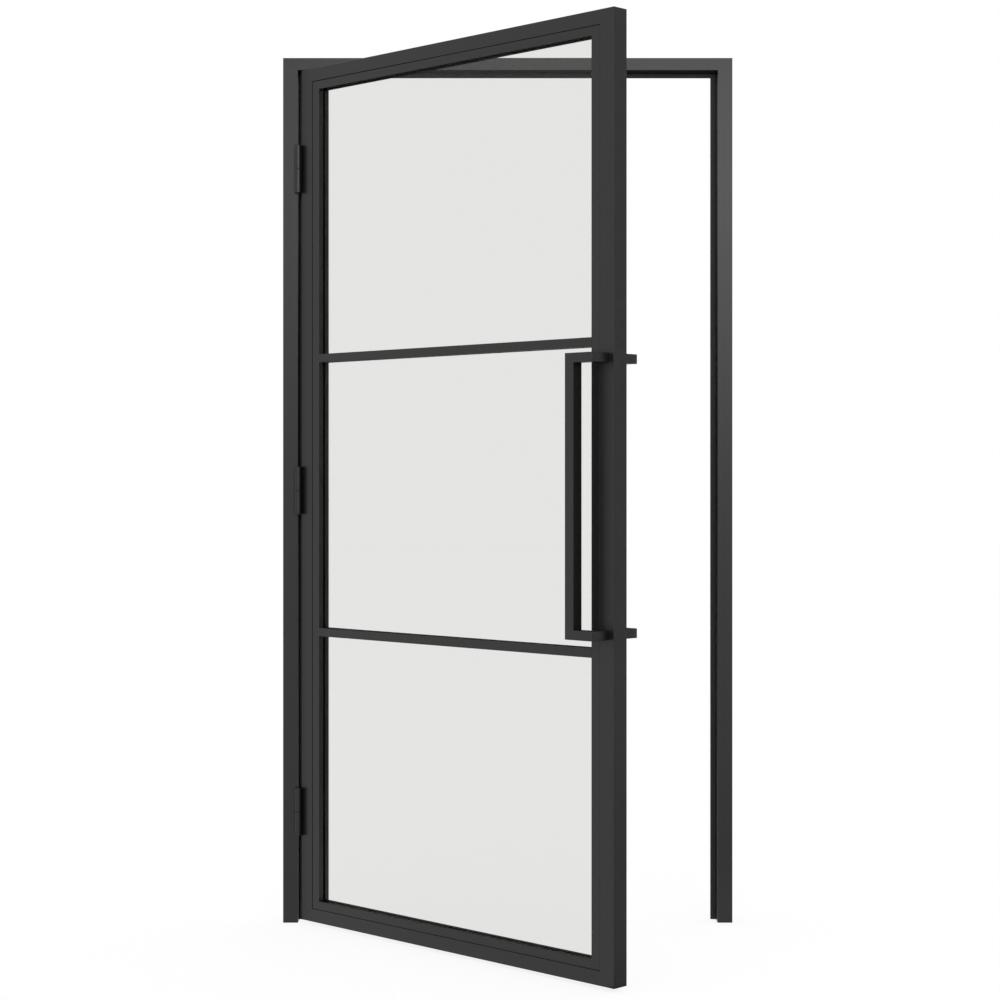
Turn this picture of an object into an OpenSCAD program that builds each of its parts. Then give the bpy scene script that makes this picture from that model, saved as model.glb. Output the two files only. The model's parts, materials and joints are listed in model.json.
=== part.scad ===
// Glass door in a three-sided steel-look frame, hung on the left and standing open.
// Millimetres. X runs along the wall, Y through it away from the viewer, Z up from the floor.
// The origin lies on the floor, in the middle of the doorway, in the plane of the frame's face.

/* [Frame] */
// Overall width of the frame
frame_w = 1060; // [800:1:1300]
// Overall height of the frame
frame_h = 2040; // [1900:1:2400]
// Width of a jamb's face
jamb_face = 35; // [30:0.5:60]
// Height of the head's face
head_face = 29; // [26:0.5:60]
// Width of the stop along a jamb
jamb_stop = 13; // [10:0.5:15]
// Height of the stop along the head
head_stop = 10.5; // [9:0.5:15]
// Thickness of the stop
stop_t = 5.5; // [5:0.5:9]
// Wall of the frame's hollow profile
frame_wall = 2.5; // [2:0.1:4]
// Distance of the outer wall fixings from the ends of a jamb
fixing_end = 170; // [130:1:190]
// Distance between the inner pair of wall fixings in a jamb
fixing_span = 580; // [300:1:1000]
// Radius of a wall fixing's hole
fixing_r = 4.5; // [3:0.25:6]

/* [Frame seal] */
// Room between the closed leaf's back and the stop
seal_gap = 1.5; // [1:0.1:3]
// Room between the closed leaf and the seal
seal_clear = 0.3; // [0.2:0.05:0.6]
// Width of the seal beside the rebate
seal_w = 5.5; // [4:0.1:6]
// Width of the seal's groove in the stop
groove_w = 3; // [2.6:0.1:4]
// Depth of the seal's groove in the stop
groove_d = 2.5; // [2:0.1:3]

/* [Leaf] */
// Thickness of the leaf
leaf_t = 40; // [37:0.5:50]
// Gap between the leaf and each jamb
side_gap = 3.5; // [2.5:0.1:5]
// Gap between the leaf and the head
head_gap = 2; // [1.5:0.1:5]
// Gap between the leaf and the floor
floor_gap = 9; // [4:0.5:20]
// Width of a stile beside its glazing bead
stile_w = 38.5; // [38.5:0.5:70]
// Height of a rail beside its glazing bead
rail_w = 30.5; // [26:0.5:70]
// Wall of the leaf's hollow profile
leaf_wall = 2; // [1.5:0.1:3]
// Rounding of the profiles' long edges
edge_r = 0.8; // [0.4:0.1:1.2]

/* [Glazing] */
// Width of the beads along the stiles
bead_stile = 24; // [16:0.5:30]
// Width of the beads along the rails
bead_rail = 20; // [16:0.5:30]
// Depth of a bead
bead_d = 12; // [9:0.5:13]
// How far the beads lie behind the leaf's face
bead_recess = 1; // [0.5:0.1:2]
// Width of the shadow gap round the beads
shadow_gap = 0.8; // [0.4:0.1:1.2]
// Depth of the shadow gap
shadow_d = 3; // [2:0.1:5]
// Wall of a hollow bead
bead_wall = 1.5; // [1:0.1:2]
// Thickness of the gasket before the glass
front_gasket_t = 2; // [1.5:0.1:4]
// Thickness of the glass
glass_t = 6; // [5:0.5:10]
// Thickness of the gasket behind the glass
rear_gasket_t = 1; // [0.8:0.1:3]
// Thickness of the hollow lip that carries the glass from behind
lip_t = 11; // [8:0.5:12]
// Room between the edge of the glass and the profiles
edge_clear = 4; // [3:0.5:6]
// Width of the gaskets
gasket_w = 9; // [6:0.5:10]
// How far the gaskets lie back from the bead's edge
gasket_set = 0.5; // [0.2:0.1:1.5]
// Length of a glazing block
block_len = 80; // [50:1:120]

/* [Glazing bars] */
// Height of a glazing bar
bar_h = 19.5; // [16:0.5:40]
// Distance of each bar's middle from the nearer end of the leaf
bar_inset = 680; // [500:1:760]
// Wall of a hollow glazing bar
bar_wall = 1.5; // [1:0.1:2]
// Thickness of the tape that bonds a bar to the glass
tape_t = 1; // [0.6:0.1:1.5]
// Width of the tape
tape_w = 15; // [8:0.5:15]

/* [Pull handles] */
// Overall height of a handle
handle_len = 587; // [300:1:1000]
// Height of the handle's middle above the leaf's lower edge
handle_rise = 1002.5; // [900:0.5:1100]
// How far a handle stands out from the leaf
handle_proj = 49.5; // [40:0.5:60]
// Overall width of a handle along the leaf
handle_reach = 75.5; // [60:0.5:100]
// Distance of a handle from the lock edge
handle_inset = 15; // [10:0.5:15]
// Width of the grip and of the posts
grip_w = 23.5; // [18:0.5:23.5]
// Depth of the grip and of the arms
grip_d = 26; // [16:0.5:28]
// Height of the arms
arm_h = 20; // [16:0.5:30]
// Radius of the studs that join the handles
stud_r = 4; // [3:0.25:5]
// Room round a stud
stud_clear = 0.1; // [0.05:0.01:0.2]
// How far a stud runs into each post
stud_hold = 18; // [10:0.5:30]

/* [Hinges] */
// Overall height of a hinge
hinge_len = 112; // [90:1:140]
// Distance of the outer hinges' middles from the ends of the frame
hinge_end = 263; // [250:1:400]
// Radius of the barrels
barrel_r = 8; // [7:0.1:8.3]
// Radius of the pins
pin_r = 4; // [3:0.1:4.5]
// Room round a pin in the upper barrel
pin_clear = 0.05; // [0.02:0.01:0.1]
// Thickness of the washer between the barrels
washer_t = 1; // [0.5:0.1:2]
// Distance of the hinge axis in front of the frame's face
hinge_out = 8.5; // [8.3:0.1:12]
// Distance of the hinge axis from the jamb's inner edge, over the gap
hinge_in = 1; // [0:0.1:2]
// Thickness of the flags
flag_t = 1.8; // [1.6:0.1:2]
// Depth of the flags behind the frame's face
flag_d = 30; // [24:0.5:34]
// Radius of the hinge screws
screw_r = 2; // [1.5:0.1:2.5]
// Length of the hinge screws
screw_len = 14; // [8:0.5:18]
// Distance between the two screws of a flag
screw_pitch = 32; // [20:1:36]

/* [Swing] */
// How far the leaf stands open
open_angle = 44.5; // [0:0.1:100]

/* [Hidden] */
$fn = 64;

// Frame
rebate_d = leaf_t + seal_gap;
frame_d = rebate_d + stop_t;
jamb_in = jamb_face - frame_w / 2;
middle_z = frame_h / 2;
fixing_z = [fixing_end, middle_z - fixing_span / 2, middle_z + fixing_span / 2, frame_h - fixing_end];
frame_path = [[0, 0], [jamb_face, head_face], [jamb_face + jamb_stop, head_face + head_stop]];
seal_h = seal_gap - seal_clear;
seal_set = 0.3;
seal_foot_x = seal_set + seal_w / 2;
seal_side_clear = 0.1;

// Leaf, in its own frame: x from the hinge edge, y from the front face, z from the lower edge
leaf_w = frame_w - 2 * (jamb_face + side_gap);
leaf_h = frame_h - head_face - head_gap - floor_gap;
leaf_left = jamb_in + side_gap;
leaf_path = [[0, 0], [stile_w, rail_w], [stile_w + bead_stile, rail_w + bead_rail]];
bead_path = [[0, 0], [bead_stile, bead_rail]];

// Glazing, front to back
gasket_y = bead_recess + bead_d;
glass_y = gasket_y + front_gasket_t;
rear_gasket_y = glass_y + glass_t;
lip_y = rear_gasket_y + rear_gasket_t;
lip_back = lip_y + lip_t;
sight_x = stile_w + bead_stile;
sight_z = rail_w + bead_rail;
field_w = leaf_w - 2 * sight_x;
field_h = leaf_h - 2 * sight_z;
pane_w = leaf_w - 2 * (stile_w + edge_clear);
pane_h = leaf_h - 2 * (rail_w + edge_clear);

// Corner cleats inside the profiles
cleat_arm = 80;
cleat_t = 8;
cleat_clear = 0.2;

// Handles
post_x = leaf_w - handle_inset - grip_w / 2;
arm_offset = (handle_len - arm_h) / 2;

// Hinges
axis_x = jamb_in + hinge_in;
axis_y = -hinge_out;
hinge_z = [hinge_end, middle_z, frame_h - hinge_end];
washer_clear = 0.05;
half_len = (hinge_len - washer_t) / 2 - washer_clear;
pin_seat_clear = 0.02;
flag_root = pin_r + 1;
barrel_end = 3;
pin_end_clear = 1;
flag_trim = 1;
screw_y = 0.6 * flag_d;
screw_head_h = 1.4;
screw_head_r = screw_r + screw_head_h;
screw_clear = 0.05;

// Length by which cutting solids run past what they cut
over = 1;
cut_reach = 100;

black = "#26272a";
steel = "#8d9094";
rubber = "#141415";
pane = [0.80, 0.84, 0.84, 0.35];
tape = "#3a3a3c";
nylon = "#55575a";

// Region past a mitre that starts at a corner and follows a path, in the plane of the corner
function past_mitre(path) =
    let (n = len(path))
    let (first = 2 * path[0] - path[1], last = 2 * path[n - 1] - path[n - 2])
    concat([first], [for (i = [1:n - 1]) path[i]], [last, [last[0], first[1]]]);

// Rectangle with rounded corners
module soft_square(size, r) {
    translate([r, 0]) square([size[0] - 2 * r, size[1]]);
    translate([0, r]) square([size[0], size[1] - 2 * r]);
    for (x = [r, size[0] - r], y = [r, size[1] - r]) {
        translate([x, y]) circle(r);
    }
}

// Prism that takes off what lies past a mitre at the foot of an upright
module mitre_cut(path) {
    translate([0, cut_reach, 0]) rotate([90, 0, 0]) linear_extrude(2 * cut_reach) polygon(past_mitre(path));
}

// Section drawn in x and y, outer edge at x = 0, run up z between mitred or square ends
module upright(run, path, foot = true, top = true) {
    difference() {
        linear_extrude(run) children();
        if (foot) {
            mitre_cut(path);
        }
        if (top) {
            translate([0, 0, run]) mirror([0, 0, 1]) mitre_cut(path);
        }
    }
}

// The same section run along x, outer edge at z = 0
module crosspiece(run, path) {
    mirror([1, 0, -1]) upright(run, [for (p = path) [p[1], p[0]]]) children();
}

// Places for what is drawn at the frame's left foot
module on_left() {
    translate([-frame_w / 2, 0, 0]) children();
}

module on_right() {
    mirror([1, 0, 0]) on_left() children();
}

module on_top() {
    translate([-frame_w / 2, 0, frame_h]) mirror([0, 0, 1]) children();
}

// Places for what is drawn in the leaf's own frame
module swung() {
    translate([axis_x, axis_y, 0]) rotate([0, 0, -open_angle]) translate([-axis_x, -axis_y, 0]) children();
}

module in_leaf() {
    swung() translate([leaf_left, 0, floor_gap]) children();
}

module lock_side() {
    translate([leaf_w, 0, 0]) mirror([1, 0, 0]) children();
}

module top_side() {
    translate([0, 0, leaf_h]) mirror([0, 0, 1]) children();
}

module back_side() {
    translate([0, leaf_t, 0]) mirror([0, 1, 0]) children();
}

// Hollow frame profile with its stop and the groove for the seal
module frame_section(face, stop) {
    difference() {
        union() {
            soft_square([face, frame_d], edge_r);
            translate([face - frame_wall, rebate_d]) square([frame_wall + stop, stop_t]);
        }
        translate([frame_wall, frame_wall]) square([face - 2 * frame_wall, frame_d - 2 * frame_wall]);
        translate([face + seal_foot_x - groove_w / 2, rebate_d - over]) square([groove_w, groove_d + over]);
    }
}

// Cushion seal in the corner of the rebate, with its foot in the groove
module seal_section(face) {
    foot_w = groove_w - 2 * seal_side_clear;
    ease = seal_h / 2;
    translate([face + seal_foot_x - foot_w / 2, rebate_d - ease]) square([foot_w, groove_d + ease]);
    translate([face + seal_set, rebate_d]) polygon([
        [0, 0], [0, -ease], [ease, -seal_h],
        [seal_w - ease, -seal_h], [seal_w, -ease], [seal_w, 0]
    ]);
}

// Hollow leaf profile with the hollow lip that carries the glass
module leaf_section(face, lip) {
    difference() {
        union() {
            soft_square([face, leaf_t], edge_r);
            translate([face - leaf_wall, lip_y]) square([leaf_wall + lip, lip_t]);
        }
        translate([leaf_wall, leaf_wall]) square([face - 2 * leaf_wall, leaf_t - 2 * leaf_wall]);
        translate([face, lip_y + leaf_wall]) square([lip - leaf_wall, lip_t - 2 * leaf_wall]);
    }
}

// Hollow glazing bead with a shadow gap along its outer front edge
module bead_section(width) {
    difference() {
        square([width, bead_d]);
        translate([-over, -over]) square([shadow_gap + over, shadow_d + over]);
        translate([shadow_gap + bead_wall, bead_wall])
            square([width - shadow_gap - 2 * bead_wall, bead_d - 2 * bead_wall]);
    }
}

// Angle that fills the outer sides of two profiles where they meet at a corner
module corner_cleat(wall, depth) {
    seat = wall + cleat_clear;
    translate([seat, seat, seat]) {
        cube([cleat_t, depth - 2 * seat, cleat_arm]);
        cube([cleat_arm, depth - 2 * seat, cleat_t]);
    }
}

// Countersunk screw along x, with its head's face at x = 0
module hinge_screw(clear = 0) {
    rotate([0, 90, 0]) {
        cylinder(h = screw_head_h, r1 = screw_head_r + clear, r2 = screw_r + clear);
        cylinder(h = screw_len, r = screw_r + clear);
        if (clear > 0) {
            translate([0, 0, -over]) cylinder(h = over, r = screw_head_r + clear);
        }
    }
}

// Screws of one lower half, driven into the hinge jamb
module frame_half_screws(i, clear = 0) {
    for (side = [-1, 1]) {
        translate([jamb_in + flag_t, screw_y, hinge_z[i] - hinge_len / 4 + side * screw_pitch / 2])
            mirror([1, 0, 0]) hinge_screw(clear);
    }
}

// Screws of one upper half, driven into the hinge stile of the closed leaf
module leaf_half_screws(i, clear = 0) {
    for (side = [-1, 1]) {
        translate([leaf_left - flag_t, screw_y, hinge_z[i] + hinge_len / 4 + side * screw_pitch / 2])
            hinge_screw(clear);
    }
}

// Half of a barrel's outline, with chamfered ends
module barrel_section() {
    end_r = barrel_r - edge_r;
    polygon([
        [0, 0], [end_r, 0], [barrel_r, edge_r],
        [barrel_r, half_len - edge_r], [end_r, half_len], [0, half_len]
    ]);
}

// Barrel and flag of one hinge half, from the barrel's lower end and the flag's left face
module hinge_half(foot, flag_x) {
    flag_y = axis_y + flag_root;
    translate([axis_x, axis_y, foot]) rotate_extrude() barrel_section();
    translate([flag_x, flag_y, foot + flag_trim]) cube([flag_t, flag_d - flag_y, half_len - 2 * flag_trim]);
}

// Both handles' studs, along y through the lock stile
module stud_holes(r) {
    for (side = [-1, 1]) {
        translate([post_x, -stud_hold, handle_rise + side * arm_offset])
            rotate([-90, 0, 0]) cylinder(h = leaf_t + 2 * stud_hold, r = r);
    }
}

// Block over the glazed field, grown past the bead's edge on every side
module field_block(grow, y, t) {
    translate([sight_x - grow, y, sight_z - grow]) cube([field_w + 2 * grow, t, field_h + 2 * grow]);
}

// Flat ring behind the bead's edge
module glazing_ring(y, t) {
    difference() {
        field_block(gasket_set + gasket_w, y, t);
        field_block(gasket_set, y - over, t + 2 * over);
    }
}

// Hollow glazing bar between the beads, with its middle at a given height
module glazing_bar(z, y, depth) {
    difference() {
        translate([sight_x, y, z - bar_h / 2]) cube([field_w, depth, bar_h]);
        translate([sight_x - over, y + bar_wall, z - bar_h / 2 + bar_wall])
            cube([field_w + 2 * over, depth - 2 * bar_wall, bar_h - 2 * bar_wall]);
    }
}

module front_bar(z) {
    color(black) in_leaf() glazing_bar(z, bead_recess, glass_y - tape_t - bead_recess);
}

module rear_bar(z) {
    color(black) in_leaf() glazing_bar(z, rear_gasket_y + tape_t, lip_back - rear_gasket_y - tape_t);
}

module bar_tapes(y) {
    color(tape) in_leaf() {
        for (z = [bar_inset, leaf_h - bar_inset]) {
            translate([sight_x, y, z - tape_w / 2]) cube([field_w, tape_t, tape_w]);
        }
    }
}

// Offset pull handle on the leaf's front face: grip, two arms and two posts
module pull_handle() {
    grip_x = leaf_w - handle_inset - handle_reach;
    difference() {
        union() {
            translate([grip_x, -handle_proj, handle_rise - handle_len / 2])
                cube([grip_w, grip_d, handle_len]);
            for (side = [-1, 1]) {
                translate([0, -handle_proj, handle_rise + side * arm_offset - arm_h / 2]) {
                    translate([grip_x, 0, 0]) cube([handle_reach, grip_d, arm_h]);
                    translate([post_x - grip_w / 2, 0, 0]) cube([grip_w, handle_proj, arm_h]);
                }
            }
        }
        stud_holes(stud_r + stud_clear);
    }
}

module jamb() {
    difference() {
        upright(frame_h, frame_path, foot = false) frame_section(jamb_face, jamb_stop);
        for (z = fixing_z) {
            translate([-over, rebate_d / 2, z]) rotate([0, 90, 0])
                cylinder(h = jamb_face + 2 * over, r = fixing_r);
        }
    }
}

module hinge_jamb() {
    color(black) difference() {
        on_left() jamb();
        for (i = [0:2]) {
            frame_half_screws(i, screw_clear);
        }
    }
}

module strike_jamb() {
    color(black) on_right() jamb();
}

module head() {
    color(black) on_top() crosspiece(frame_w, frame_path) frame_section(head_face, head_stop);
}

module jamb_seal() {
    upright(frame_h, frame_path, foot = false) seal_section(jamb_face);
}

module hinge_seal() {
    color(rubber) on_left() jamb_seal();
}

module strike_seal() {
    color(rubber) on_right() jamb_seal();
}

module head_seal() {
    color(rubber) on_top() crosspiece(frame_w, frame_path) seal_section(head_face);
}

module hinge_corner_cleat() {
    color(steel) on_top() corner_cleat(frame_wall, frame_d);
}

module strike_corner_cleat() {
    color(steel) mirror([1, 0, 0]) on_top() corner_cleat(frame_wall, frame_d);
}

// Lower half of a hinge, on the jamb
module hinge_frame_half(i) {
    foot = hinge_z[i] - hinge_len / 2;
    color(black) difference() {
        hinge_half(foot, jamb_in);
        translate([axis_x, axis_y, foot - over])
            cylinder(h = half_len + 2 * over, r = pin_r + pin_seat_clear);
        frame_half_screws(i, screw_clear);
    }
}

// Upper half of a hinge, on the leaf
module hinge_leaf_half(i) {
    foot = hinge_z[i] + hinge_len / 2 - half_len;
    color(black) swung() difference() {
        hinge_half(foot, leaf_left - flag_t);
        translate([axis_x, axis_y, foot - over])
            cylinder(h = half_len + over - barrel_end, r = pin_r + pin_clear);
        leaf_half_screws(i, screw_clear);
    }
}

module hinge_pin(i) {
    color(steel) translate([axis_x, axis_y, hinge_z[i] - hinge_len / 2])
        cylinder(h = hinge_len - barrel_end - pin_end_clear, r = pin_r);
}

module hinge_washer(i) {
    color(nylon) translate([axis_x, axis_y, hinge_z[i] - washer_t / 2]) difference() {
        cylinder(h = washer_t, r = barrel_r - edge_r);
        translate([0, 0, -over]) cylinder(h = washer_t + 2 * over, r = pin_r + pin_clear);
    }
}

module frame_hinge_screws() {
    color(steel) {
        for (i = [0:2]) {
            frame_half_screws(i);
        }
    }
}

module leaf_hinge_screws() {
    color(steel) swung() {
        for (i = [0:2]) {
            leaf_half_screws(i);
        }
    }
}

module hinge_stile() {
    color(black) swung() difference() {
        translate([leaf_left, 0, floor_gap]) upright(leaf_h, leaf_path) leaf_section(stile_w, bead_stile);
        for (i = [0:2]) {
            leaf_half_screws(i, screw_clear);
        }
    }
}

module lock_stile() {
    color(black) in_leaf() difference() {
        lock_side() upright(leaf_h, leaf_path) leaf_section(stile_w, bead_stile);
        stud_holes(stud_r + stud_clear);
    }
}

module rail() {
    crosspiece(leaf_w, leaf_path) leaf_section(rail_w, bead_rail);
}

module bottom_rail() {
    color(black) in_leaf() rail();
}

module top_rail() {
    color(black) in_leaf() top_side() rail();
}

module bottom_hinge_cleat() {
    color(steel) in_leaf() corner_cleat(leaf_wall, leaf_t);
}

module bottom_lock_cleat() {
    color(steel) in_leaf() lock_side() corner_cleat(leaf_wall, leaf_t);
}

module top_hinge_cleat() {
    color(steel) in_leaf() top_side() corner_cleat(leaf_wall, leaf_t);
}

module top_lock_cleat() {
    color(steel) in_leaf() top_side() lock_side() corner_cleat(leaf_wall, leaf_t);
}

module glass_pane() {
    color(pane) in_leaf()
        translate([stile_w + edge_clear, glass_y, rail_w + edge_clear]) cube([pane_w, glass_t, pane_h]);
}

module stile_bead() {
    translate([stile_w, bead_recess, rail_w])
        upright(leaf_h - 2 * rail_w, bead_path) bead_section(bead_stile);
}

module rail_bead() {
    translate([stile_w, bead_recess, rail_w])
        crosspiece(leaf_w - 2 * stile_w, bead_path) bead_section(bead_rail);
}

module hinge_bead() {
    color(black) in_leaf() stile_bead();
}

module lock_bead() {
    color(black) in_leaf() lock_side() stile_bead();
}

module bottom_bead() {
    color(black) in_leaf() rail_bead();
}

module top_bead() {
    color(black) in_leaf() top_side() rail_bead();
}

module front_gasket() {
    color(rubber) in_leaf() glazing_ring(gasket_y, front_gasket_t);
}

module rear_gasket() {
    color(rubber) in_leaf() glazing_ring(rear_gasket_y, rear_gasket_t);
}

// Blocks that carry the pane on the lower rail and steady it under the upper one
module glazing_blocks() {
    color(nylon) in_leaf() {
        for (share = [1, 3], z = [rail_w, leaf_h - rail_w - edge_clear]) {
            translate([share * leaf_w / 4 - block_len / 2, glass_y, z])
                cube([block_len, glass_t, edge_clear]);
        }
    }
}

module front_pull_handle() {
    color(black) in_leaf() pull_handle();
}

module rear_pull_handle() {
    color(black) in_leaf() back_side() pull_handle();
}

module handle_studs() {
    color(steel) in_leaf() stud_holes(stud_r);
}

hinge_jamb();
strike_jamb();
head();
hinge_seal();
strike_seal();
head_seal();
hinge_corner_cleat();
strike_corner_cleat();
hinge_frame_half(0);  // lower_hinge_frame_half
hinge_frame_half(1);  // middle_hinge_frame_half
hinge_frame_half(2);  // upper_hinge_frame_half
hinge_pin(0);  // lower_hinge_pin
hinge_pin(1);  // middle_hinge_pin
hinge_pin(2);  // upper_hinge_pin
hinge_washer(0);  // lower_hinge_washer
hinge_washer(1);  // middle_hinge_washer
hinge_washer(2);  // upper_hinge_washer
frame_hinge_screws();
hinge_stile();
lock_stile();
bottom_rail();
top_rail();
bottom_hinge_cleat();
bottom_lock_cleat();
top_hinge_cleat();
top_lock_cleat();
glass_pane();
hinge_bead();
lock_bead();
bottom_bead();
top_bead();
front_gasket();
rear_gasket();
glazing_blocks();
front_bar(bar_inset);  // lower_front_bar
front_bar(leaf_h - bar_inset);  // upper_front_bar
rear_bar(bar_inset);  // lower_rear_bar
rear_bar(leaf_h - bar_inset);  // upper_rear_bar
bar_tapes(glass_y - tape_t);  // front_bar_tapes
bar_tapes(rear_gasket_y);  // rear_bar_tapes
front_pull_handle();
rear_pull_handle();
handle_studs();
hinge_leaf_half(0);  // lower_hinge_leaf_half
hinge_leaf_half(1);  // middle_hinge_leaf_half
hinge_leaf_half(2);  // upper_hinge_leaf_half
leaf_hinge_screws();
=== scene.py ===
# %% [markdown]
# # A glass door in a slim black frame
#
# The door is a steel-look interior door: hollow black profiles, one large pane with two slim bars laid
# on it from both sides, three barrel hinges on the left and a pair of square pull handles back to back.
# The construction comes from the CAD model, at its real size and in its real place. This lesson gives it
# its finishes, softens the edges that a factory would soften, and sets up the studio and the camera.

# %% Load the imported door
import bmesh
import bpy
import json
import math
from mathutils import Matrix, Quaternion, Vector


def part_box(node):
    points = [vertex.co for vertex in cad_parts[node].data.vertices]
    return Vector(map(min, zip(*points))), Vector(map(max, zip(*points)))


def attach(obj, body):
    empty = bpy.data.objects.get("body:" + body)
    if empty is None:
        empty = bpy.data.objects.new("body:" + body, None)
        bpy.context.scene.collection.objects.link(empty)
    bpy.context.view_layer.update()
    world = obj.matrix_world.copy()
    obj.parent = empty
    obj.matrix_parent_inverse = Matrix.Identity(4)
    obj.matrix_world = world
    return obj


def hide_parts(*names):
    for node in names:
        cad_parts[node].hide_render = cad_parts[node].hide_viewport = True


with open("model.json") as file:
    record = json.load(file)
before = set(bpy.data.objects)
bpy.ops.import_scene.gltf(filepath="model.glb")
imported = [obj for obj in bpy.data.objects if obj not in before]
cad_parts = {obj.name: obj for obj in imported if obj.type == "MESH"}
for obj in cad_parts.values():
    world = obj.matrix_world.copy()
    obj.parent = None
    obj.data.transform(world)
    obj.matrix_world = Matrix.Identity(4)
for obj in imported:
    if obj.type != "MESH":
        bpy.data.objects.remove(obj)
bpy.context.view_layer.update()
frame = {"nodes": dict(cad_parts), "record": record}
scene = bpy.context.scene
nodes = frame["nodes"]
record = frame["record"]
slot_of = {part["node"]: part["material_slot"] for part in record["subparts"]}
body_of = {name: body for body, names in record["behaviour"]["bodies"].items() for name in names}

# %% [markdown]
# ## Camera
#
# The photograph is a one-point view: the frame lies parallel to the picture, so the camera looks straight
# along +Y and all uprights stay upright. Its height and distance follow from the size of the frame in the
# picture and from how fast the open leaf grows towards the viewer. Tilting the camera could bring the door
# to its place in the picture too, but then the uprights would lean, so a small lens shift does it.

# %% Camera
SENSOR_WIDTH = 36.0
PICTURE_SIDE = 1000.0
FOCAL_PIXELS = 2136.5
PRINCIPAL_X, PRINCIPAL_Y = 504.65, 478.0
EYE = Vector((-0.0073, -5.04, 1.0491))
LEVEL_VIEW = (math.radians(90.0), 0.0, 0.0)
FAR_CLIP = 200.0

camera_data = bpy.data.cameras.new("photo_camera")
camera_data.sensor_width = SENSOR_WIDTH
camera_data.lens = FOCAL_PIXELS / PICTURE_SIDE * SENSOR_WIDTH
camera_data.shift_x = 0.5 - PRINCIPAL_X / PICTURE_SIDE
camera_data.shift_y = PRINCIPAL_Y / PICTURE_SIDE - 0.5
camera_data.clip_end = FAR_CLIP
camera = bpy.data.objects.new("photo_camera", camera_data)
camera.location = EYE
camera.rotation_euler = LEVEL_VIEW
scene.collection.objects.link(camera)
scene.camera = camera
print("Lens:", round(camera_data.lens, 2), "mm")

# %% [markdown]
# ## Room
#
# The photograph has a plain white ground, and a black coat shows its surroundings more than its own colour.
# A white tent could be put up round the door, but its corners would show in the gloss. So the world itself is
# the room, an even white of strength 1 on every side: the camera sees it as white, and so do the coat's
# reflections and the glass.

# %% Room
def grey(shade):
    return (shade, shade, shade, 1.0)


def make_room():
    world = bpy.data.worlds.new("white_room")
    world.use_nodes = True
    room = world.node_tree.nodes["Background"]
    room.inputs["Color"].default_value = grey(1.0)
    room.inputs["Strength"].default_value = 1.0
    scene.world = world


make_room()
scene.view_settings.view_transform = "Standard"
print("Room:", scene.world.name)

# %% [markdown]
# ## Boards for the stage
#
# The floor and the cards round the door are flat boards that belong to the studio and not to the door. Each
# is a grid of one face, since a flat face needs no more, with its place in its mesh. Their shaders are
# mixed by hand from matt, clear and glowing parts, because each kind of light meets them in its own way.

# %% Boards for the stage
def bare_material(name):
    material = bpy.data.materials.new(name)
    material.use_nodes = True
    material.node_tree.nodes.remove(material.node_tree.nodes["Principled BSDF"])
    return material


def matt(tree, shade):
    shader = tree.nodes.new("ShaderNodeBsdfDiffuse")
    shader.inputs["Color"].default_value = grey(shade)
    return shader


def mix_by(tree, factor, off, on):
    mix = tree.nodes.new("ShaderNodeMixShader")
    tree.links.new(factor, mix.inputs["Fac"])
    tree.links.new(off.outputs[0], mix.inputs[1])
    tree.links.new(on.outputs[0], mix.inputs[2])
    tree.links.new(mix.outputs[0], tree.nodes["Material Output"].inputs["Surface"])


def stage_board(name, material, stand):
    mesh = bpy.data.meshes.new(name)
    bm = bmesh.new()
    bmesh.ops.create_grid(bm, x_segments=1, y_segments=1, size=0.5, matrix=stand)
    bm.to_mesh(mesh)
    bm.free()
    mesh.materials.append(material)
    board = bpy.data.objects.new(name, mesh)
    scene.collection.objects.link(board)
    return board


print("Tools for boards are ready")

# %% [markdown]
# ## Floor
#
# The floor is pale and quite matt. A plain white floor would show a grey horizon through the glass. So where
# the camera, a reflection or the glass looks at it, some emission lifts it to the white of the room, and the
# rest of its brightness is real light. That part is what the door takes away where it stands, so a faint soft
# shadow stays under it. For the light that it throws back at the door it is a plain matt floor, without the
# emission.

# %% Floor
FLOOR_SIDE = 60.0
FLOOR_LIT = 0.14
FLOOR_LIFT = 0.86
FLOOR_BOUNCE = 0.8


def looked_at(tree):
    path = tree.nodes.new("ShaderNodeLightPath")
    seen = path.outputs["Is Camera Ray"]
    for kind in ("Is Glossy Ray", "Is Transmission Ray"):
        either = tree.nodes.new("ShaderNodeMath")
        either.operation = "MAXIMUM"
        tree.links.new(seen, either.inputs[0])
        tree.links.new(path.outputs[kind], either.inputs[1])
        seen = either.outputs[0]
    return seen


def floor_material():
    material = bare_material("pale_floor")
    tree = material.node_tree
    lift = tree.nodes.new("ShaderNodeEmission")
    lift.inputs["Strength"].default_value = FLOOR_LIFT
    shown = tree.nodes.new("ShaderNodeAddShader")
    tree.links.new(matt(tree, FLOOR_LIT).outputs[0], shown.inputs[0])
    tree.links.new(lift.outputs[0], shown.inputs[1])
    mix_by(tree, looked_at(tree), matt(tree, FLOOR_BOUNCE), shown)
    return material


floor = stage_board("floor", floor_material(), Matrix.Diagonal((FLOOR_SIDE, FLOOR_SIDE, 1.0, 1.0)))
print("Floor:", FLOOR_SIDE, "m square")

# %% [markdown]
# ## Softbox
#
# One large softbox stands behind the camera, high and to the right, with its left end tilted up. The frame
# faces it, so the head and the upper part of the jambs shine most, and the shine fades down the jambs, sooner
# on the left. The leaf is turned away from it and keeps its even tone. A sun or a spot would light the door
# too, but only a broad lamp gives a matt coat such a slow fade.

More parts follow.
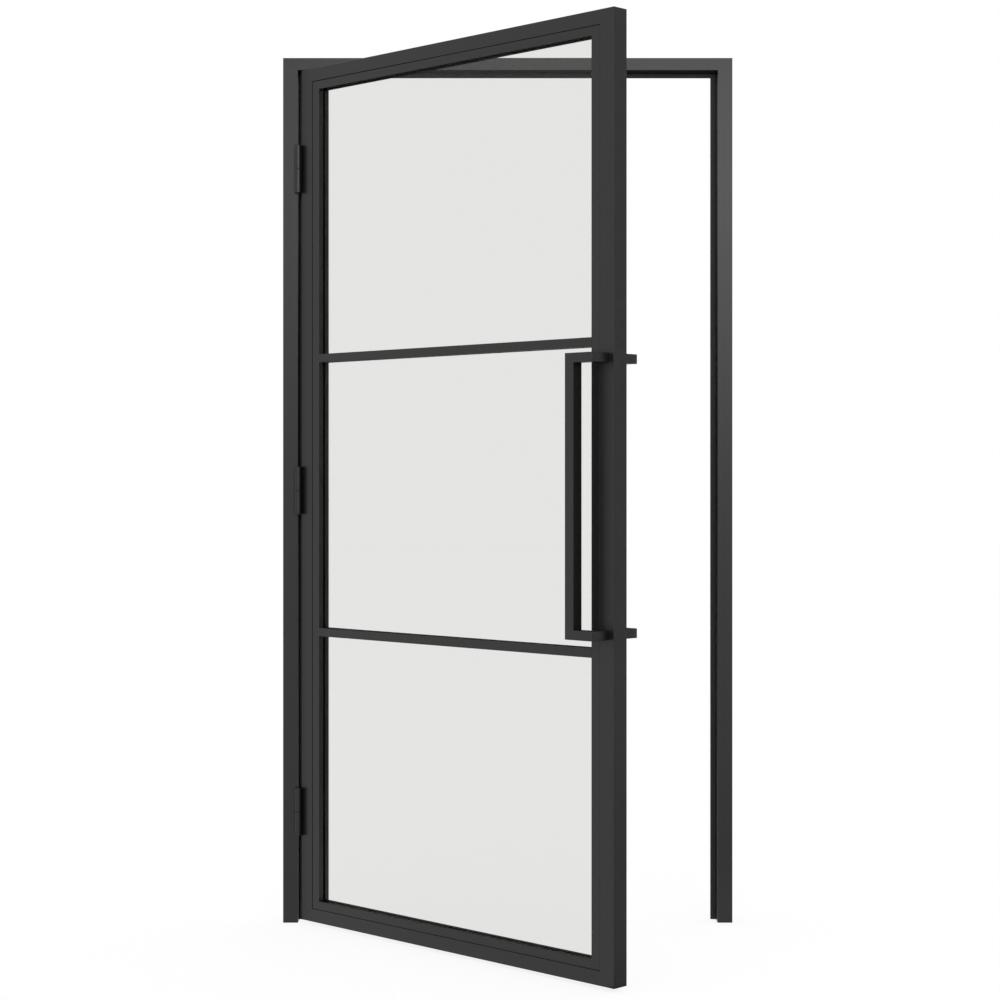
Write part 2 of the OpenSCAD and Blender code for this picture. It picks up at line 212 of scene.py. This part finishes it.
# %% Softbox
def softbox(name, place, target, tilt, width, height, power):
    light = bpy.data.lights.new(name, "AREA")
    light.shape = "RECTANGLE"
    light.size = width
    light.size_y = height
    light.energy = power
    lamp = bpy.data.objects.new(name, light)
    lamp.location = place
    aim = (Vector(target) - Vector(place)).to_track_quat("-Z", "Y")
    lamp.rotation_euler = (aim @ Quaternion((0.0, 0.0, 1.0), math.radians(tilt))).to_euler()
    lamp.visible_camera = False
    lamp.visible_transmission = False
    scene.collection.objects.link(lamp)
    print(name, width, "by", height, "m,", power, "W")


softbox(
    "front_softbox",
    place=(1.03, -5.6, 2.6),
    target=(0.3, 0.0, 1.7),
    tilt=-6.0,
    width=4.2,
    height=1.5,
    power=75.0,
)

# %% [markdown]
# ## Cards
#
# What a black gloss mirrors gives it its shape, so cards stand round it, outside the picture, as in a photo
# studio. A light grey card on the right darkens the narrow lock edge, and two darker ones on the floor do so
# near its foot. Two black cards behind the door darken what is seen at a slant: the upper and lower sides of
# the beads and bars, and the rebate. The small one is for the head's underside. Darker paint there would look
# wrong from other sides, so reflection does it. Only light that has been mirrored in a surface meets the
# cards. By Light Path the camera and the glass look straight through them, and they cast no shadow.

# %% Cards
TO_LEFT = (-1.0, 0.0, 0.0)
TO_FRONT = (0.0, -1.0, 0.0)
TO_TOP = (0.0, 0.0, 1.0)


def card_material(name, shade):
    material = bare_material(name)
    tree = material.node_tree
    path = tree.nodes.new("ShaderNodeLightPath")
    mirrored = tree.nodes.new("ShaderNodeMath")
    mirrored.operation = "GREATER_THAN"
    mirrored.inputs[1].default_value = 0.5
    tree.links.new(path.outputs["Glossy Depth"], mirrored.inputs[0])
    clear = tree.nodes.new("ShaderNodeBsdfTransparent")
    mix_by(tree, mirrored.outputs[0], clear, matt(tree, shade))
    return material


def card(name, shade, place, facing, width, height):
    turn = Vector(facing).to_track_quat("Z", "Y").to_matrix().to_4x4()
    size = Matrix.Diagonal((width, height, 1.0, 1.0))
    board = stage_board(name, card_material(name, shade), Matrix.Translation(place) @ turn @ size)
    board.visible_camera = False
    board.visible_diffuse = False
    board.visible_shadow = False
    print(name, width, "by", height, "m")


card("grey_card", shade=0.66, place=(2.3, 0.3, 1.7), facing=TO_LEFT, width=4.4, height=3.4)
card("grey_floor_card", shade=0.45, place=(1.6, -0.3, 0.01), facing=TO_TOP, width=1.6, height=3.4)
card("grey_foot_card", shade=0.45, place=(0.5, -0.7, 0.01), facing=TO_TOP, width=0.6, height=0.3)
card("black_card", shade=0.01, place=(-0.3, 5.0, 1.15), facing=TO_FRONT, width=4.6, height=2.3)
card("black_low_card", shade=0.01, place=(0.1, 1.0, 1.255), facing=TO_FRONT, width=2.4, height=0.71)

# %% [markdown]
# ## Fine skin
#
# Powder coat, rubber and nylon all have a fine skin that scatters light a little unevenly. Each material could
# draw its own, but one node group is built once and serves all: a grain of fractions of a millimetre for the
# bump, and a slow cloud of some centimetres that shifts colour and roughness. Each material places the group
# with its own scales.

# %% Fine skin
SKIN_LAYERS = (("Grain", "Height", 3.0), ("Cloud", "Patch", 4.0))
SKIN_ROUGHNESS = 0.55


def make_fine_skin():
    group = bpy.data.node_groups.new("fine_skin", "ShaderNodeTree")
    for scale, result, detail in SKIN_LAYERS:
        group.interface.new_socket(scale, in_out="INPUT", socket_type="NodeSocketFloat")
        group.interface.new_socket(result, in_out="OUTPUT", socket_type="NodeSocketFloat")
    entry = group.nodes.new("NodeGroupInput")
    leave = group.nodes.new("NodeGroupOutput")
    place = group.nodes.new("ShaderNodeTexCoord")
    for scale, result, detail in SKIN_LAYERS:
        noise = group.nodes.new("ShaderNodeTexNoise")
        noise.inputs["Detail"].default_value = detail
        noise.inputs["Roughness"].default_value = SKIN_ROUGHNESS
        group.links.new(place.outputs["Object"], noise.inputs["Vector"])
        group.links.new(entry.outputs[scale], noise.inputs["Scale"])
        group.links.new(noise.outputs["Fac"], leave.inputs[result])
    return group


FINE_SKIN = make_fine_skin()
print("Node group:", FINE_SKIN.name)

# %% [markdown]
# ## Dull finishes
#
# The coat is nearly black, and what one sees of it is mostly the white room in its soft gloss. So its base
# colour is very dark, and its roughness is that of a fine matt powder coat. The gaskets are of dead black
# rubber, the frame's seal of a slightly smoother one, and the washers and glazing blocks of black nylon. All
# these finishes differ only in shade, roughness, grain and gloss, so one function makes them.

# %% Dull finishes
GRAIN_HEIGHT = 0.0002


def skinned(name, shades, rough, grain, cloud, bump, specular):
    material = bpy.data.materials.new(name)
    material.use_nodes = True
    tree = material.node_tree
    shader = tree.nodes["Principled BSDF"]
    shader.inputs["Specular IOR Level"].default_value = specular
    skin = tree.nodes.new("ShaderNodeGroup")
    skin.node_tree = FINE_SKIN
    skin.inputs["Grain"].default_value = grain
    skin.inputs["Cloud"].default_value = cloud
    tint = tree.nodes.new("ShaderNodeMix")
    tint.data_type = "RGBA"
    tint.inputs["A"].default_value = grey(shades[0])
    tint.inputs["B"].default_value = grey(shades[1])
    gloss = tree.nodes.new("ShaderNodeMapRange")
    gloss.inputs["To Min"].default_value = rough[0]
    gloss.inputs["To Max"].default_value = rough[1]
    relief = tree.nodes.new("ShaderNodeBump")
    relief.inputs["Strength"].default_value = bump
    relief.inputs["Distance"].default_value = GRAIN_HEIGHT
    tree.links.new(skin.outputs["Patch"], tint.inputs["Factor"])
    tree.links.new(tint.outputs["Result"], shader.inputs["Base Color"])
    tree.links.new(skin.outputs["Patch"], gloss.inputs["Value"])
    tree.links.new(gloss.outputs["Result"], shader.inputs["Roughness"])
    tree.links.new(skin.outputs["Height"], relief.inputs["Height"])
    tree.links.new(relief.outputs["Normal"], shader.inputs["Normal"])
    return material


MATERIALS = {
    "powder_coat": skinned(
        "powder_coat", (0.0050, 0.0066), (0.30, 0.35), grain=1400.0, cloud=9.0, bump=0.15, specular=0.42
    ),
    "handle_black": skinned(
        "handle_coat", (0.0050, 0.0066), (0.29, 0.34), grain=1600.0, cloud=14.0, bump=0.14, specular=0.42
    ),
    "hinge_black": skinned(
        "hinge_coat", (0.0053, 0.0070), (0.29, 0.34), grain=1600.0, cloud=20.0, bump=0.16, specular=0.43
    ),
    "seal_rubber": skinned(
        "gasket_rubber", (0.0035, 0.0055), (0.60, 0.72), grain=700.0, cloud=25.0, bump=0.25, specular=0.10
    ),
    "nylon": skinned(
        "black_nylon", (0.0050, 0.0070), (0.45, 0.55), grain=500.0, cloud=40.0, bump=0.10, specular=0.40
    ),
    "tape": skinned(
        "foam_tape", (0.018, 0.028), (0.75, 0.85), grain=600.0, cloud=40.0, bump=0.30, specular=0.30
    ),
}
FRAME_SEAL = skinned(
    "frame_seal_rubber", (0.0070, 0.0100), (0.50, 0.60), grain=700.0, cloud=25.0, bump=0.25, specular=0.38
)
print("Dull finishes:", sorted(MATERIALS), "and", FRAME_SEAL.name)

# %% [markdown]
# ## Zinc-plated steel
#
# Screws, pins, studs and corner cleats are plated steel. It is a metal, so its colour lies in the reflection.
# A plain metal shader would look like chrome, so the same skin gives it the slightly cloudy look of zinc.

# %% Zinc-plated steel
def plated_steel():
    material = skinned(
        "zinc_plate", (0.46, 0.60), (0.28, 0.42), grain=900.0, cloud=60.0, bump=0.12, specular=0.5
    )
    material.node_tree.nodes["Principled BSDF"].inputs["Metallic"].default_value = 1.0
    return material


MATERIALS["steel"] = plated_steel()
print("Steel:", MATERIALS["steel"].name)

# %% [markdown]
# ## Glass
#
# The pane is clear with a faint grey, as the photograph shows it against white. It hardly mirrors the room
# there and doesn't shift what lies behind it. A thin sheet without refraction could look so too, but the pane
# has its real thickness, so its index of refraction is set low instead, as for glass with an anti-reflection
# coat. For shadow rays it is simply transparent, so that light reaches what stands behind.

# %% Glass
GLASS_TINT = (0.779, 0.780, 0.762, 1.0)
GLASS_SHADOW = (0.89, 0.893, 0.88, 1.0)
GLASS_INDEX = 1.20


def clear_glass():
    material = bpy.data.materials.new("clear_glass")
    material.use_nodes = True
    tree = material.node_tree
    shader = tree.nodes["Principled BSDF"]
    shader.inputs["Base Color"].default_value = GLASS_TINT
    shader.inputs["Transmission Weight"].default_value = 1.0
    shader.inputs["Roughness"].default_value = 0.0
    shader.inputs["IOR"].default_value = GLASS_INDEX
    clear = tree.nodes.new("ShaderNodeBsdfTransparent")
    clear.inputs["Color"].default_value = GLASS_SHADOW
    path = tree.nodes.new("ShaderNodeLightPath")
    mix_by(tree, path.outputs["Is Shadow Ray"], shader, clear)
    return material


MATERIALS["glass"] = clear_glass()
print("Glass:", MATERIALS["glass"].name)

# %% [markdown]
# ## Finishes on the CAD nodes
#
# The record names a slot for every node, so each node could be dressed by hand or by its slot. By slot, a node
# can't be forgotten. Only the three lengths of the frame's seal differ from the gaskets in the same slot.

# %% Finishes on the CAD nodes
FRAME_SEAL_NODES = ("hinge_seal", "strike_seal", "head_seal")

for name, node in nodes.items():
    node.data.materials.clear()
    node.data.materials.append(FRAME_SEAL if name in FRAME_SEAL_NODES else MATERIALS[slot_of[name]])
print("Dressed nodes:", len(nodes))

# %% [markdown]
# ## Copies of CAD nodes
#
# A CAD node is loose triangles and is left alone, so a piece is refined on a copy. Its doubles are merged and
# its flat triangles joined, so that each edge of the piece is one edge of the mesh. The finished copy rides on
# the node's body, wears the finish of the node's slot and replaces it. Its normals could all be flat or all be
# smooth, but weighted normals keep the large faces flat and the small bevels round.

# %% Copies of CAD nodes
MERGE_DISTANCE = 1e-6
FLAT_ANGLE = math.radians(0.5)
CREASE_ANGLE = math.radians(50.0)


def merged_copy(name):
    bm = bmesh.new()
    bm.from_mesh(nodes[name].data)
    bm.transform(nodes[name].matrix_world)
    bmesh.ops.remove_doubles(bm, verts=bm.verts, dist=MERGE_DISTANCE)
    bmesh.ops.dissolve_limit(bm, angle_limit=FLAT_ANGLE, verts=bm.verts, edges=bm.edges)
    bmesh.ops.recalc_face_normals(bm, faces=bm.faces)
    return bm


def add_piece(name, bm, material, slot, body, *replaced):
    mesh = bpy.data.meshes.new(name)
    bm.to_mesh(mesh)
    bm.free()
    mesh.materials.append(material)
    mesh.shade_smooth()
    mesh.set_sharp_from_angle(angle=CREASE_ANGLE)
    piece = bpy.data.objects.new(name, mesh)
    scene.collection.objects.link(piece)
    shading = piece.modifiers.new("even_shading", "WEIGHTED_NORMAL")
    shading.keep_sharp = True
    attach(piece, body)
    if replaced:
        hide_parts(*replaced)
    return piece


def add_refined(prefix, name, bm):
    slot = slot_of[name]
    return add_piece(prefix + name, bm, MATERIALS[slot], slot, body_of[name], name)


print("Tools for copies are ready")

# %% [markdown]
# ## Eased edges
#
# The handles are welded from square bar and ground, the beads and bars are folded, and the profiles are drawn,
# so none of their edges is razor sharp. The main edges of the profiles are round in the CAD model already, and
# only those of the stop, its groove and the glazing lip are left. A Bevel modifier would round the hollow
# insides and short ends too. So the edges are picked one by one: sharp ones that point outwards and are long
# enough, and they get a small round bevel.

# %% Eased edges
SHARP_ANGLE = math.radians(40.0)
EASE_SEGMENTS = 3
SHORT_SIDE, LONG_SIDE = 0.015, 0.3
EASED = (
    (0.0008, SHORT_SIDE, ("front_pull_handle", "rear_pull_handle")),
    (0.0004, LONG_SIDE, ("hinge_bead", "lock_bead", "bottom_bead", "top_bead")),
    (0.0005, LONG_SIDE, ("lower_front_bar", "upper_front_bar", "lower_rear_bar", "upper_rear_bar")),
    (0.0006, LONG_SIDE, ("hinge_jamb", "strike_jamb", "head")),
    (0.0006, LONG_SIDE, ("hinge_stile", "lock_stile", "bottom_rail", "top_rail")),
)


def outward_edges(bm, shortest):
    edges = [edge for edge in bm.edges if edge.is_manifold and edge.calc_length() > shortest]
    return [edge for edge in edges if edge.calc_face_angle_signed() > SHARP_ANGLE]


def ease(name, width, shortest):
    bm = merged_copy(name)
    edges = outward_edges(bm, shortest)
    bmesh.ops.bevel(
        bm,
        geom=edges,
        offset=width,
        offset_type="OFFSET",
        segments=EASE_SEGMENTS,
        profile=0.5,
        affect="EDGES",
        material=-1,
    )
    bmesh.ops.recalc_face_normals(bm, faces=bm.faces)
    add_refined("eased_", name, bm)
    return len(edges)


for width, shortest, names in EASED:
    for name in names:
        print(name, "edges eased:", ease(name, width, shortest))

# %% [markdown]
# ## Skirt of the frame seal
#
# Beside the cushion seal a thin flat skirt of the same rubber lies on the face of the stop, up to its eased
# edge. It is why that face looks dull and dark beside the shining jamb. Three strips could be laid there, but
# one outline leaves no joints in the corners: up one jamb, along the head and down the other. It is drawn from
# eight corners and pulled forward to a thin sheet.

# %% Skirt of the frame seal
STOP_THICKNESS = 0.0055
SKIRT_THICKNESS = 0.0004
SKIRT_BACK_OFF = 0.0006


def skirt_outline():
    left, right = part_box("hinge_seal")[1][0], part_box("strike_seal")[0][0]
    foot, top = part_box("strike_seal")[0][2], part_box("head_seal")[0][2]
    stop_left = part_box("hinge_jamb")[1][0] - SKIRT_BACK_OFF
    stop_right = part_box("strike_jamb")[0][0] + SKIRT_BACK_OFF
    stop_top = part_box("head")[0][2] + SKIRT_BACK_OFF
    outer = [(left, foot), (left, top), (right, top), (right, foot)]
    inner = [(stop_right, foot), (stop_right, stop_top), (stop_left, stop_top), (stop_left, foot)]
    return outer + inner


def seal_skirt():
    face_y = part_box("head")[1][1] - STOP_THICKNESS
    bm = bmesh.new()
    sheet = bm.faces.new([bm.verts.new((x, face_y, z)) for x, z in skirt_outline()])
    pulled = bmesh.ops.extrude_face_region(bm, geom=[sheet], use_keep_orig=True)["geom"]
    front = [part for part in pulled if isinstance(part, bmesh.types.BMVert)]
    bmesh.ops.translate(bm, verts=front, vec=(0.0, -SKIRT_THICKNESS, 0.0))
    bmesh.ops.recalc_face_normals(bm, faces=bm.faces)
    return add_piece("seal_skirt", bm, FRAME_SEAL, "seal_rubber", "frame")


print("Skirt:", len(seal_skirt().data.polygons), "faces")

# %% [markdown]
# ## Hinge screws
#
# Each hinge flag is held by two countersunk screws, driven with a hexagon key. The CAD screw has a plain flat
# head, so the copy gets its socket. A boolean could cut it, but it would leave long thin triangles. Instead the
# round face is inset, the inner ring is drawn to a hexagon and the face inside it is pushed into the head.

# %% Hinge screws
HEAD_AREA = 2.5e-5
SOCKET_RIM = 0.0015
SOCKET_HALF = 0.00125
SOCKET_DEPTH = 0.0010
HEXAGON_SIDE = math.radians(60.0)


def to_hexagon(face, half):
    centre = face.calc_center_median()
    first = (face.verts[0].co - centre).normalized()
    second = face.normal.cross(first)
    for vert in face.verts:
        out = vert.co - centre
        turn = math.atan2(out.dot(second), out.dot(first)) % HEXAGON_SIDE - HEXAGON_SIDE / 2
        vert.co = centre + out.normalized() * half / math.cos(turn)


def socket_screws(name):
    bm = merged_copy(name)
    heads = [face for face in bm.faces if face.calc_area() > HEAD_AREA]
    bmesh.ops.inset_individual(bm, faces=heads, thickness=SOCKET_RIM, depth=0.0)
    for head in heads:
        to_hexagon(head, SOCKET_HALF)
    pushed = bmesh.ops.extrude_discrete_faces(bm, faces=heads)["faces"]
    bm.normal_update()
    for face in pushed:
        bmesh.ops.translate(bm, verts=face.verts, vec=-SOCKET_DEPTH * face.normal)
    bmesh.ops.recalc_face_normals(bm, faces=bm.faces)
    add_refined("socket_", name, bm)
    return len(pushed)


for name in ("frame_hinge_screws", "leaf_hinge_screws"):
    print(name, "sockets:", socket_screws(name))
